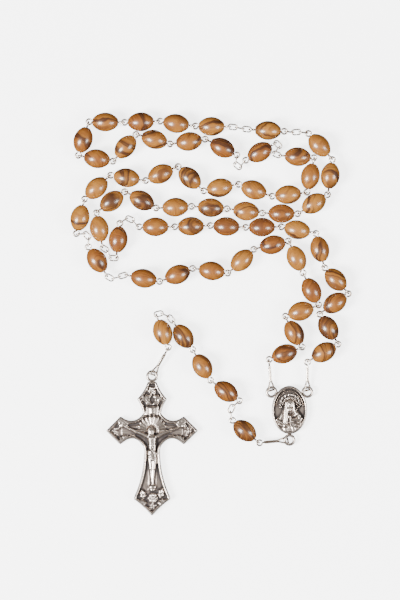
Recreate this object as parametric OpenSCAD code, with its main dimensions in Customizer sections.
/* [Beads] */
// Length of one bead along its bore
bead_len = 8; // [7.6:0.1:8.2]
// Widest diameter of one bead
bead_d = 6; // [5.4:0.1:6]
// Diameter of the bore through a bead
bore_d = 0.9; // [0.8:0.05:1.1]

/* [Wire] */
// Wire diameter of the eye pins and the pinched connectors
pin_wire = 0.56; // [0.5:0.02:0.6]
// Diameter of an eye, measured on the wire's centre line
eye_d = 1.7; // [1.7:0.02:1.8]
// Wire diameter of the small chain links
link_wire = 0.44; // [0.36:0.02:0.44]
// Width of a chain link, measured on the wire's centre line
link_w = 1.6; // [1.5:0.05:1.8]

/* [Medal] */
// Width of the oval plate
medal_w = 11; // [10:0.5:11.5]
// Height of the oval plate
medal_h = 15; // [14:0.5:15.5]
// Thickness of the plate under its relief
medal_t = 2; // [1.6:0.1:2.2]

/* [Crucifix] */
// Height of the cross from the shoulder of its eye to its foot
cross_h = 42; // [41:0.5:43]
// Width over the two arms
cross_w = 28.8; // [28:0.2:30]
// Thickness of the plate under its relief
cross_t = 2; // [1.6:0.1:2.2]

/* [Laid pose] */
// Direction of the crucifix, in degrees round from +X
cross_turn = -90; // [-95:1:-85]

/* [Hidden] */
$fn = 48;

// Lengths along one piece, from its middle to the centre line of its end wire
pin_reach = 5.9;
link_reach = 1.4;
pin_r = pin_wire / 2;
link_r = link_wire / 2;
eye_r = eye_d / 2;
// Play left between two linked wires
slack = 0.14;
// Height of the bead line above the table, and of the castings' eyelets
line_z = 3;
lug_z = 1.47;
// Cast eyelets: centre line radius and half thickness, and where a bail bears in them
lug_r = 1.4;
lug_t = 0.36;
bail_rest = 0.55;
// Pinched connector: from the bail's cross bar to the middle of its eye, and its bail
conn_len = 8.95;
bail_half = 1.48;
bail_len = 3;
bail_roll = 44;
conn_reach = conn_len + eye_r;
conn_tilt = asin((line_z - lug_z) / conn_reach);

// ---- The laid pose. Each run is a list of directions in degrees, round from +X, one
// for each bead or link in turn. Odd groups are beads, even groups are three chain links.
right_start = 90;
right_run = [
    [30, 122, 35, 133, 104, 170, 181, 177, 182, 180], [134, 154, 211],
    [264], [178, 120, 145],
    [100, 36, 332, 3, 356, 353, 359, 33, 83, 133], [173, 184, 174],
    [177], [173, 170, 173],
    [179, 172, 182, 179, 253, 351]];
left_start = 95;
left_run = [
    [20, 119, 18, 116, 114, 193, 223, 172, 202, 169], [198, 196, 150],
    [123], [84, 135, 183],
    [77, 43, 351, 24, 316, 11, 340, 6, 78, 176], [157, 52, 134],
    [210], [231, 140, 79],
    [153, 188]];
pendant_start = 185;
pendant_run = [
    [140], [100, 65, 35],
    [145, 120, 125], [130, 155, 195],
    [290]];
pendant_end = 240;

right_lug = [5.6, 5.6];
left_lug = [-5.6, 5.6];
foot_lug = [0, -9.4];

function dir(a) = [cos(a), sin(a)];
function angle_of(v) = atan2(v[1], v[0]);
function flat(groups) = [for (g = groups) each g];
// A piece is [is it a bead's pin, reach, wire radius]
bead_piece = [true, pin_reach, pin_r];
link_piece = [false, link_reach, link_r];
function pieces(run) = [for (g = [0 : len(run) - 1]) for (h = run[g])
    g % 2 == 0 ? bead_piece : link_piece];
// Two linked wires hang one wire apart, with a little play. The upright eye turns round
// its own wire, so the joint's pivot is always on the upright piece's wire.
function apart(a, b) = a[2] + b[2] + slack;
function far_side(a, b, b_up) = b_up ? a[1] - apart(a, b) : a[1];
function near_side(a, b, b_up) = b_up ? b[1] : b[1] - apart(a, b);
// Walks a run of pieces from a pivot. Each place is [middle, direction, is its near eye
// upright, pivot before it, pivot after it, piece]. Eyes alternate upright and flat at
// every joint, and a pin's two eyes stand at right angles.
function walk(run, start, first_up) =
    walk_on(concat(pieces(run), [bead_piece]), flat(run), start, first_up, 0);
function walk_on(p, h, at, up, i) = i == len(h) ? [] :
    let (far = p[i][0] ? !up : up,
        mid = at + near_side(p[max(i - 1, 0)], p[i], up) * dir(h[i]),
        next = mid + far_side(p[i], p[i + 1], !far) * dir(h[i]))
    concat([[mid, h[i], up, at, next, p[i]]], walk_on(p, h, next, !far, i + 1));

// Connectors run from an eyelet to the first bead's pivot
flat_run = conn_reach * cos(conn_tilt);
function bail_at(lug, a) = lug + bail_rest * dir(a);
right_pivot = bail_at(right_lug, right_start)
    + (flat_run - apart(bead_piece, bead_piece)) * dir(right_start);
left_pivot = bail_at(left_lug, left_start) + flat_run * dir(left_start);
pendant_pivot = bail_at(foot_lug, pendant_start)
    + (flat_run - apart(bead_piece, bead_piece)) * dir(pendant_start);

right_places = walk(right_run, right_pivot, true);
left_places = walk(left_run, left_pivot, false);
pendant_places = walk(pendant_run, pendant_pivot, true);

// The two beads that close the loop meet where two circles cross
close_a = right_places[len(right_places) - 1][4];
close_b = left_places[len(left_places) - 1][4];
close_len = 2 * pin_reach - apart(bead_piece, bead_piece);
close_gap = close_b - close_a;
close_rise = sqrt(pow(close_len, 2) - pow(norm(close_gap) / 2, 2));
close_at = (close_a + close_b) / 2 + close_rise * dir(angle_of(close_gap) + 90);
function close_place(from, up) =
    let (a = angle_of(close_at - from))
    [from + near_side(bead_piece, bead_piece, up) * dir(a), a, up, from, close_at, bead_piece];
close_places = [close_place(close_a, true), close_place(close_b, false)];

// Beads of the loop, numbered from the medal's right eyelet round to its left one, and
// the links beside them in the same order
function only(places, bead) = [for (p = places) if (p[5][0] == bead) p];
function backward(v) = [for (i = [len(v) - 1 : -1 : 0]) v[i]];
loop_beads = concat(only(right_places, true), close_places,
    backward(only(left_places, true)));
loop_links = concat(only(right_places, false), backward(only(left_places, false)));
pendant_beads = only(pendant_places, true);
pendant_links = only(pendant_places, false);

// ---- Wire and wood
module place(p) translate([p[0][0], p[0][1], line_z]) rotate([0, 0, p[1]]) children();
module wire_ring(ring_r, wire_r) rotate_extrude() translate([ring_r, 0]) circle(wire_r);
module eye(up) rotate([up ? 90 : 0, 0, 0]) wire_ring(eye_r, pin_r);
module rod(len, r) rotate([0, 90, 0]) cylinder(h = len, r = r, center = true);

// Turned bead: narrow cones that follow one arc from end to end, cut flat where the bore
// comes out
module bead(p) {
    half = bead_len / 2;
    end_r = 0.3 * bead_d / 2;
    drop = bead_d / 2 - end_r;
    arc_r = (half * half + drop * drop) / (2 * drop);
    steps = 9;
    outside = [for (i = [-steps : steps]) let (x = half * sin(90 * i / steps))
        [bead_d / 2 - arc_r + sqrt(arc_r * arc_r - x * x), x]];
    color("peru") place(p) rotate([0, 90, 0]) rotate_extrude()
        polygon(concat([[bore_d / 2, -half]], outside, [[bore_d / 2, half]]));
}

// Eye pin: a straight wire with a closed eye at each end
module pin(p) color("silver") place(p) {
    shank = 2 * (pin_reach - 2 * eye_r);
    rod(shank, pin_r);
    translate([eye_r - pin_reach, 0, 0]) eye(p[2]);
    translate([pin_reach - eye_r, 0, 0]) eye(!p[2]);
}

// Oval chain link: two half rings joined by two straight wires
module link(p) color("silver") place(p) rotate([p[2] ? 90 : 0, 0, 0]) {
    bend = link_w / 2;
    straight = link_reach - bend;
    for (s = [-1, 1]) {
        translate([s * straight, 0, 0]) rotate([0, 0, -90 * s])
            rotate_extrude(angle = 180) translate([bend, 0]) circle(link_r);
        translate([0, s * bend, 0]) rod(2 * straight, link_r);
    }
}

// Straight round wire between two points, with a ball a little proud of it at each end
module wire(a, b, r) {
    v = b - a;
    ball_r = r + 0.03;
    translate(a) rotate([0, acos(v[2] / norm(v)), atan2(v[1], v[0])]) cylinder(h = norm(v), r = r);
    translate(a) sphere(ball_r);
    translate(b) sphere(ball_r);
}

// Short upright pin that closes a corner of the bail, a little wider than the wire
module corner(at) translate(at) cylinder(h = 2 * pin_r + 0.06, r = pin_r + 0.03, center = true);

// Pinched connector: a three-cornered bail in a cast eyelet, two wires side by side, a
// short neck and a round eye. It slopes up from the casting to the line of the beads.
module connector(bail_at, turn, eye_up) color("silver")
    translate([bail_at[0], bail_at[1], lug_z]) rotate([0, -conn_tilt, turn]) {
        side = pin_r + 0.06;
        shank = 4.5;
        neck = conn_len - eye_r - bail_len - shank + 0.5;
        rotate([bail_roll, 0, 0]) {
            rotate([90, 0, 0]) cylinder(h = 2 * bail_half, r = pin_r, center = true);
            for (s = [-1, 1]) {
                bend = [bail_len, s * side, 0];
                leg = bend - [0, s * bail_half, 0];
                corner([0, s * bail_half, 0]);
                translate([0, s * bail_half, 0])
                    rotate([0, 90, atan2(leg[1], leg[0])]) cylinder(h = norm(leg), r = pin_r);
                corner(bend);
                translate(bend + [shank / 2, 0, 0]) rod(shank, pin_r);
            }
        }
        translate([conn_len - eye_r - neck / 2, 0, 0]) rod(neck, pin_r);
        translate([conn_len, 0, 0]) eye(eye_up);
    }

// ---- Castings, each with its flat back on the table
module lug(at, root) translate([at[0], at[1], lug_z]) {
    wire_ring(lug_r, lug_t);
    // Stalk from the ring into the plate
    rotate([0, 0, root]) translate([lug_r, -0.7, -lug_t]) cube([1, 1.4, 2 * lug_t]);
}
module oval(w, h) polygon([for (a = [0 : 7.5 : 352.5]) [w / 2 * cos(a), h / 2 * sin(a)]]);
module medal() color("gray") {
    rim = 0.7;
    rim_t = 0.4;
    linear_extrude(medal_t) oval(medal_w, medal_h);
    linear_extrude(medal_t + rim_t) difference() {
        oval(medal_w, medal_h);
        oval(medal_w - 2 * rim, medal_h - 2 * rim);
    }
    lug(right_lug, 225);
    lug(left_lug, -45);
    lug(foot_lug, 90);
    // Robed half figure in low relief
    intersection() {
        translate([0, 0, medal_t - 0.1]) union() {
            translate([0.2, 1.6, 0]) cylinder(h = 0.9, r = 1.5);
            translate([0, -3.6, 0]) linear_extrude(0.7)
                polygon([[-4.2, -1.4], [-1.3, 4.8], [1.7, 4.8], [4.2, -1.2], [2.4, -3.1], [-2.4, -3.1]]);
        }
        linear_extrude(medal_t + 2) oval(medal_w - 2 * rim, medal_h - 2 * rim);
    }
}

// Points along a shallow arc from a to b; sag is how far it bows to its right
function arc(a, b, sag, n = 8) = sag == 0 ? [a] :
    let (half = norm(b - a) / 2, r = (half * half + sag * sag) / (2 * sag),
        turn = angle_of(b - a), sweep = 2 * asin(half / r),
        middle = (a + b) / 2 + (r - sag) * dir(turn + 90))
    [for (i = [0 : n - 1]) middle + r * dir(turn - 90 - sweep / 2 + i * sweep / n)];
// Right half of the cross, from its eye down to its foot, about the eye's middle: each
// corner, then how far the edge after it bows inward
arm_y = -17.1;
foot_y = -cross_h - lug_r - lug_t;
corners = [
    [[1.3, -1.6], 0.4], [[4.7, -7.2], 0.3], [[2.8, -11.8], 1.8],
    [[9.9, -12.6], 0], [[cross_w / 2, arm_y], 0], [[9.9, -21.5], 2.4],
    [[2.5, -22.4], 1], [[5.9, -38.4], 0.3], [[0, foot_y], 0]];
right_edge = [for (i = [0 : len(corners) - 2])
    each arc(corners[i][0], corners[i + 1][0], corners[i][1])];
cross_outline = concat(right_edge, [[0, foot_y]],
    [for (p = backward(right_edge)) [-p[0], p[1]]]);
cross_eye = pendant_places[len(pendant_places) - 1][4]
    + (flat_run + bail_rest) * dir(pendant_end);

module crucifix() color("gray") translate(cross_eye) rotate(cross_turn + 90) {
    beam_t = 0.5;
    head_y = arm_y + 0.3;
    lug([0, 0], -90);
    linear_extrude(cross_t) polygon(cross_outline);
    // Raised inner cross that the figure hangs on
    translate([-1.6, -37, cross_t - 0.1]) cube([3.2, 33, beam_t]);
    translate([-11.5, arm_y - 1.4, cross_t - 0.1]) cube([23, 2.8, beam_t]);
    // Blank scroll above the figure, and the round boss under its feet
    translate([-2, -12.2, cross_t - 0.1]) cube([4, 2.4, 1]);
    translate([0, -38.6, cross_t - 0.1]) cylinder(h = 0.9, r = 1.7);
    // The figure: head, arms, body and legs as round wires
    translate([0, 0, cross_t + 0.3]) {
        translate([-0.5, head_y - 1, 0.5]) sphere(1.2);
        for (s = [-1, 1]) {
            wire([s * 8, arm_y + 0.6, 0], [s * 1.6, arm_y - 3, 0.2], 0.6);
            wire([s * 0.7, arm_y - 3.4, 0.1], [s * 0.5, arm_y - 9, 0.1], 1);
            wire([s * 0.5, arm_y - 9, 0.1], [s * 0.2, arm_y - 17, 0], 0.6);
        }
    }
}

// ---- Pieces by name. Loop beads are numbered from the medal's right eyelet round to its
// left one: ten to a decade, with a lone bead on chain between two decades.
single_beads = [1, 2, 3, 4, 25, 26, 27, 28, 29, 30, 51, 52, 53, 54];
lone_beads = [11, 22, 33, 44];
decade_beads = [
    [5 : 10], [12 : 21], [23, 24, 31, 32], [34 : 43], [45 : 50]];
pin_groups = [
    ["neck_pins", [1, 2, 3, 4, 51, 52, 53, 54]],
    ["bight_pins", [25, 26, 29, 30]],
    ["tip_pins", [27, 28]],
    ["between_decades_pins", lone_beads],
    ["decade_1_pins", decade_beads[0]],
    ["decade_2_pins", decade_beads[1]],
    ["decade_3_pins", decade_beads[2]],
    ["decade_4_pins", decade_beads[3]],
    ["decade_5_pins", decade_beads[4]]];

module right_connector() connector(bail_at(right_lug, right_start), right_start, false);
module left_connector() connector(bail_at(left_lug, left_start), left_start, true);
module pendant_connector()
    connector(bail_at(foot_lug, pendant_start), pendant_start, false);
module crucifix_connector()
    connector(cross_eye - bail_rest * dir(pendant_end), pendant_end + 180, true);
module bead_group(numbers) for (n = numbers) bead(loop_beads[n - 1]);
module pin_group(numbers) for (n = numbers) pin(loop_beads[n - 1]);
module link_group(first, count) for (n = [0 : count - 1]) link(loop_links[first + n]);

medal();
right_connector();
left_connector();
pendant_connector();
crucifix_connector();
crucifix();
for (n = single_beads)
    bead(loop_beads[n - 1]);
for (n = [1 : 4])
    bead(loop_beads[lone_beads[n - 1] - 1]);
for (n = [1 : 4])
    link_group(6 * n - 6, 6);
for (n = [1 : 5])
    bead_group(decade_beads[n - 1]);
for (g = pin_groups) pin_group(g[1]);
for (n = [1 : 5])
    bead(pendant_beads[n - 1]);
for (n = [1 : 5])
    pin(pendant_beads[n - 1]);
for (n = [1 : 6])
    link(pendant_links[n - 1]);
